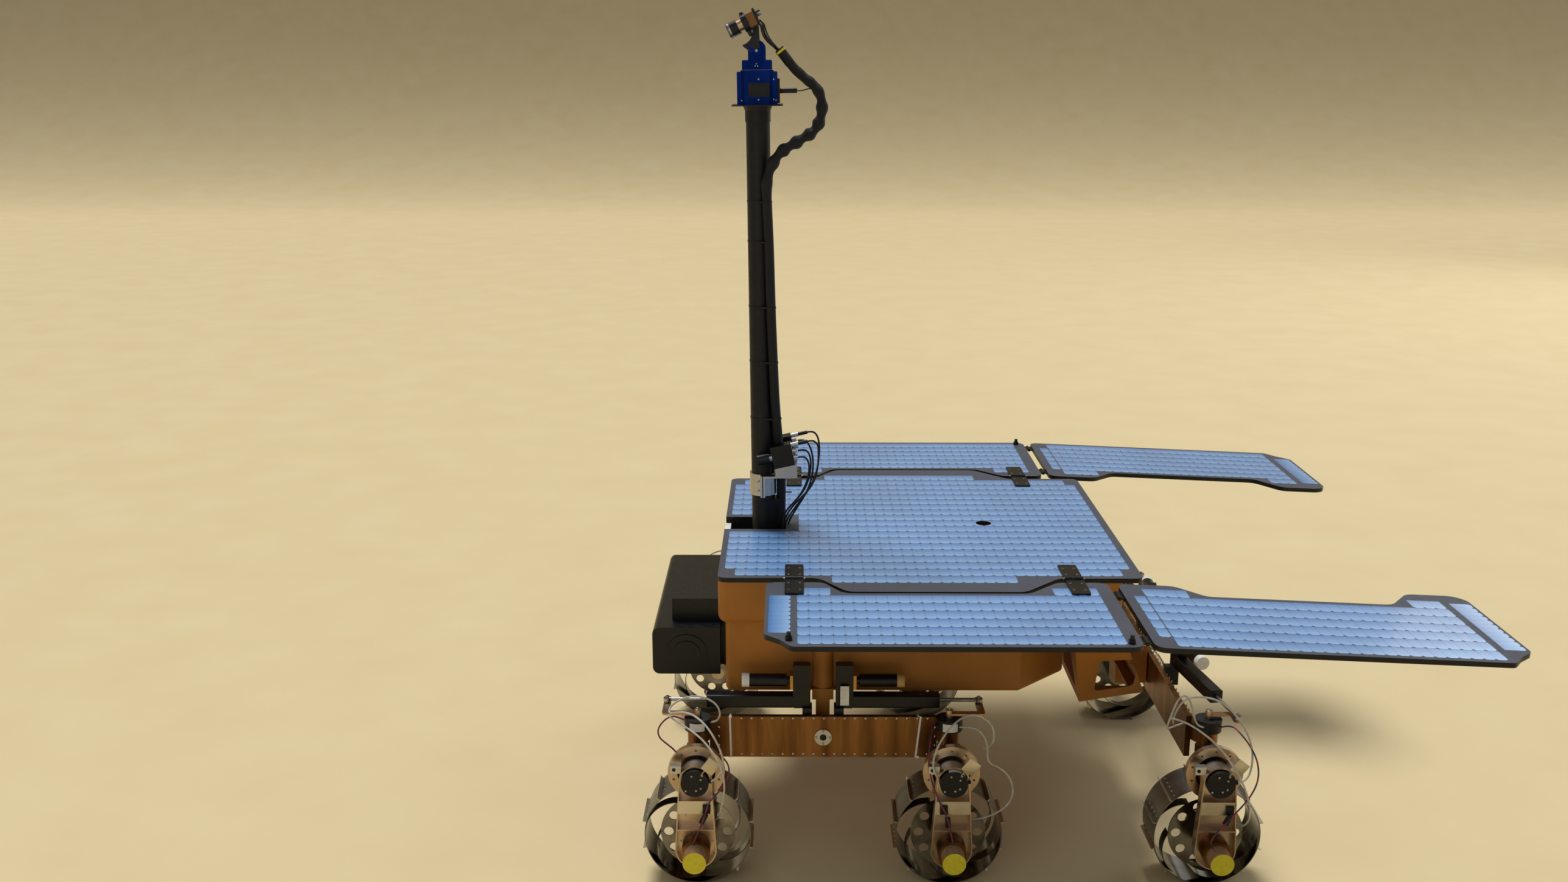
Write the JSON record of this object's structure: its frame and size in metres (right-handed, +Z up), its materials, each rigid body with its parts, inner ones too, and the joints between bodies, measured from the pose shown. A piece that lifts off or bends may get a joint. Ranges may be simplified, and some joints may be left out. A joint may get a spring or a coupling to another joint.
{
  "type": "planetary rover",
  "caption": "Wheeled planetary rover test vehicle with bogie suspension, steered and walking wheels, flat solar deck, folding side panels and rear wings, and a camera mast.",
  "frame": {"origin": "on the ground under the middle of the vehicle's bounding box", "axes": "+X is the driving direction, +Y the rover's left side, +Z up"},
  "size_m": [2.0133, 1.8, 2.1462],
  "materials": {
    "ochre_skin": "matt ochre foil over panels",
    "solar_cell": "light blue cell array on a grey-blue border",
    "black_paint": "satin black",
    "blue_paint": "satin blue",
    "bare_aluminium": "machined",
    "copper_sheet": "satin copper-toned riveted sheet",
    "gold_anodised": "gold anodised",
    "wheel_metal": "light gold flexible metal",
    "steel": "ground steel",
    "cable_skin": "black braided sleeve"
  },
  "bodies": {
    "chassis": {"body_shell": "ochre_skin", "deck_panel": "solar_cell", "deck_hinge_leaves": "black_paint", "drill_box": "black_paint", "mast_tube": "black_paint", "mast_clamp": "bare_aluminium", "mast_cameras": "black_paint", "head_plate": "black_paint", "pan_unit_base": "blue_paint", "bogie_posts": "ochre_skin", "rear_bogie_bracket": "ochre_skin", "cable_camera_lead": "cable_skin", "cable_head_sleeve": "cable_skin", "cable_mast_sleeve": "cable_skin"},
    "side_fold_left": {"side_panel_left": "solar_cell", "side_hinges_left": "black_paint", "side_knobs_left": "black_paint"},
    "wing_fold_left": {"wing_left": "solar_cell", "wing_hinges_left": "bare_aluminium"},
    "side_fold_right": {"side_panel_right": "solar_cell", "side_hinges_right": "black_paint", "side_knobs_right": "black_paint"},
    "wing_fold_right": {"wing_right": "solar_cell", "wing_hinges_right": "bare_aluminium"},
    "head_pan": {"pan_yoke": "blue_paint"},
    "head_tilt": {"tilt_bracket": "blue_paint", "head_cameras": "black_paint"},
    "bogie_left": {"bogie_beam_left": "copper_sheet", "steer_drives_left": "black_paint", "steer_housings_left": "bare_aluminium"},
    "bogie_right": {"bogie_beam_right": "copper_sheet", "steer_drives_right": "black_paint", "steer_housings_right": "bare_aluminium"},
    "bogie_rear": {"rear_bogie_beam": "copper_sheet", "steer_drives_rear": "black_paint", "steer_housings_rear": "bare_aluminium"},
    "knuckle_front_left": {"steer_knuckle_front_left": "gold_anodised"},
    "leg_front_left": {"wheel_leg_front_left": "gold_anodised"},
    "wheel_front_left": {"wheel_front_left": "wheel_metal"},
    "rod_front_left": {"steer_rod_front_left": "steel"},
    "knuckle_front_right": {"steer_knuckle_front_right": "gold_anodised"},
    "leg_front_right": {"wheel_leg_front_right": "gold_anodised"},
    "wheel_front_right": {"wheel_front_right": "wheel_metal"},
    "rod_front_right": {"steer_rod_front_right": "steel"},
    "knuckle_middle_left": {"steer_knuckle_middle_left": "gold_anodised"},
    "leg_middle_left": {"wheel_leg_middle_left": "gold_anodised"},
    "wheel_middle_left": {"wheel_middle_left": "wheel_metal"},
    "rod_middle_left": {"steer_rod_middle_left": "steel"},
    "knuckle_middle_right": {"steer_knuckle_middle_right": "gold_anodised"},
    "leg_middle_right": {"wheel_leg_middle_right": "gold_anodised"},
    "wheel_middle_right": {"wheel_middle_right": "wheel_metal"},
    "rod_middle_right": {"steer_rod_middle_right": "steel"},
    "knuckle_rear_left": {"steer_knuckle_rear_left": "gold_anodised"},
    "leg_rear_left": {"wheel_leg_rear_left": "gold_anodised"},
    "wheel_rear_left": {"wheel_rear_left": "wheel_metal"},
    "rod_rear_left": {"steer_rod_rear_left": "steel"},
    "knuckle_rear_right": {"steer_knuckle_rear_right": "gold_anodised"},
    "leg_rear_right": {"wheel_leg_rear_right": "gold_anodised"},
    "wheel_rear_right": {"wheel_rear_right": "wheel_metal"},
    "rod_rear_right": {"steer_rod_rear_right": "steel"}
  },
  "joints": [
    {"name": "fold_side_left", "type": "hinge", "parent": "chassis", "child": "side_fold_left", "pos_m": [0.229, 0.4695, 0.789], "axis": [1, 0, 0], "range_deg": [0, 175]},
    {"name": "fold_wing_left", "type": "hinge", "parent": "side_fold_left", "child": "wing_fold_left", "pos_m": [-0.1455, 0.7, 0.778], "axis": [0, -1, 0], "range_deg": [-110, 0]},
    {"name": "fold_side_right", "type": "hinge", "parent": "chassis", "child": "side_fold_right", "pos_m": [0.229, -0.4695, 0.789], "axis": [-1, 0, 0], "range_deg": [0, 175]},
    {"name": "fold_wing_right", "type": "hinge", "parent": "side_fold_right", "child": "wing_fold_right", "pos_m": [-0.1455, -0.7, 0.778], "axis": [0, -1, 0], "range_deg": [-110, 0]},
    {"name": "pan", "type": "hinge", "parent": "chassis", "child": "head_pan", "pos_m": [0.7249, 0, 1.99543], "axis": [0.0105, 0, 0.9999], "range_deg": [-159, 159]},
    {"name": "tilt", "type": "hinge", "parent": "head_pan", "child": "head_tilt", "pos_m": [0.7254, 0, 2.04343], "axis": [0, 1, 0], "range_deg": [-31, 47]},
    {"name": "bogie_pivot_left", "type": "hinge", "parent": "chassis", "child": "bogie_left", "pos_m": [0.555, 0.459, 0.365], "axis": [0, 1, 0], "range_deg": [-10, 10]},
    {"name": "bogie_pivot_right", "type": "hinge", "parent": "chassis", "child": "bogie_right", "pos_m": [0.555, -0.459, 0.365], "axis": [0, 1, 0], "range_deg": [-10, 10]},
    {"name": "bogie_pivot_rear", "type": "hinge", "parent": "chassis", "child": "bogie_rear", "pos_m": [-0.366, 0, 0.365], "axis": [1, 0, 0], "range_deg": [-10, 10]},
    {"name": "steer_front_left", "type": "hinge", "parent": "bogie_left", "child": "knuckle_front_left", "pos_m": [0.869, 0.49, 0.4], "axis": [0, 0, 1], "range_deg": [-35, 35]},
    {"name": "walk_front_left", "type": "hinge", "parent": "knuckle_front_left", "child": "leg_front_left", "pos_m": [0.869, 0.58, 0.32], "axis": [0, 1, 0], "range_deg": [-25, 25]},
    {"name": "spin_front_left", "type": "hinge", "parent": "leg_front_left", "child": "wheel_front_left", "pos_m": [0.869, 0.49, 0.1379], "axis": [0, 1, 0], "continuous": true},
    {"name": "slide_front_left", "type": "slide", "parent": "bogie_left", "child": "rod_front_left", "axis": [1, 0, 0], "range_m": [-0.038, 0.038]},
    {"name": "steer_front_right", "type": "hinge", "parent": "bogie_right", "child": "knuckle_front_right", "pos_m": [0.869, -0.49, 0.4], "axis": [0, 0, 1], "range_deg": [-35, 35]},
    {"name": "walk_front_right", "type": "hinge", "parent": "knuckle_front_right", "child": "leg_front_right", "pos_m": [0.869, -0.58, 0.32], "axis": [0, 1, 0], "range_deg": [-25, 25]},
    {"name": "spin_front_right", "type": "hinge", "parent": "leg_front_right", "child": "wheel_front_right", "pos_m": [0.869, -0.49, 0.1379], "axis": [0, 1, 0], "continuous": true},
    {"name": "slide_front_right", "type": "slide", "parent": "bogie_right", "child": "rod_front_right", "axis": [1, 0, 0], "range_m": [-0.038, 0.038]},
    {"name": "steer_middle_left", "type": "hinge", "parent": "bogie_left", "child": "knuckle_middle_left", "pos_m": [0.241, 0.49, 0.4], "axis": [0, 0, 1], "range_deg": [-35, 35]},
    {"name": "walk_middle_left", "type": "hinge", "parent": "knuckle_middle_left", "child": "leg_middle_left", "pos_m": [0.241, 0.58, 0.32], "axis": [0, 1, 0], "range_deg": [-25, 25]},
    {"name": "spin_middle_left", "type": "hinge", "parent": "leg_middle_left", "child": "wheel_middle_left", "pos_m": [0.241, 0.49, 0.1379], "axis": [0, 1, 0], "continuous": true},
    {"name": "slide_middle_left", "type": "slide", "parent": "bogie_left", "child": "rod_middle_left", "axis": [1, 0, 0], "range_m": [-0.038, 0.038]},
    {"name": "steer_middle_right", "type": "hinge", "parent": "bogie_right", "child": "knuckle_middle_right", "pos_m": [0.241, -0.49, 0.4], "axis": [0, 0, 1], "range_deg": [-35, 35]},
    {"name": "walk_middle_right", "type": "hinge", "parent": "knuckle_middle_right", "child": "leg_middle_right", "pos_m": [0.241, -0.58, 0.32], "axis": [0, 1, 0], "range_deg": [-25, 25]},
    {"name": "spin_middle_right", "type": "hinge", "parent": "leg_middle_right", "child": "wheel_middle_right", "pos_m": [0.241, -0.49, 0.1379], "axis": [0, 1, 0], "continuous": true},
    {"name": "slide_middle_right", "type": "slide", "parent": "bogie_right", "child": "rod_middle_right", "axis": [1, 0, 0], "range_m": [-0.038, 0.038]},
    {"name": "steer_rear_left", "type": "hinge", "parent": "bogie_rear", "child": "knuckle_rear_left", "pos_m": [-0.405, 0.49, 0.4], "axis": [0, 0, 1], "range_deg": [-35, 35]},
    {"name": "walk_rear_left", "type": "hinge", "parent": "knuckle_rear_left", "child": "leg_rear_left", "pos_m": [-0.405, 0.58, 0.32], "axis": [0, 1, 0], "range_deg": [-25, 25]},
    {"name": "spin_rear_left", "type": "hinge", "parent": "leg_rear_left", "child": "wheel_rear_left", "pos_m": [-0.405, 0.49, 0.1379], "axis": [0, 1, 0], "continuous": true},
    {"name": "slide_rear_left", "type": "slide", "parent": "bogie_rear", "child": "rod_rear_left", "axis": [-0.1533, 0.9882, 0], "range_m": [-0.038, 0.038]},
    {"name": "steer_rear_right", "type": "hinge", "parent": "bogie_rear", "child": "knuckle_rear_right", "pos_m": [-0.405, -0.49, 0.4], "axis": [0, 0, 1], "range_deg": [-35, 35]},
    {"name": "walk_rear_right", "type": "hinge", "parent": "knuckle_rear_right", "child": "leg_rear_right", "pos_m": [-0.405, -0.58, 0.32], "axis": [0, 1, 0], "range_deg": [-25, 25]},
    {"name": "spin_rear_right", "type": "hinge", "parent": "leg_rear_right", "child": "wheel_rear_right", "pos_m": [-0.405, -0.49, 0.1379], "axis": [0, 1, 0], "continuous": true},
    {"name": "slide_rear_right", "type": "slide", "parent": "bogie_rear", "child": "rod_rear_right", "axis": [-0.1533, -0.9882, 0], "range_m": [-0.038, 0.038]}
  ],
  "couplings": [
    {"joint": "slide_front_left", "follows": "steer_front_left", "m_per_rad": 0.062},
    {"joint": "slide_front_right", "follows": "steer_front_right", "m_per_rad": -0.062},
    {"joint": "slide_middle_left", "follows": "steer_middle_left", "m_per_rad": 0.062},
    {"joint": "slide_middle_right", "follows": "steer_middle_right", "m_per_rad": -0.062},
    {"joint": "slide_rear_left", "follows": "steer_rear_left", "m_per_rad": -0.053466},
    {"joint": "slide_rear_right", "follows": "steer_rear_right", "m_per_rad": 0.053466}
  ]
}
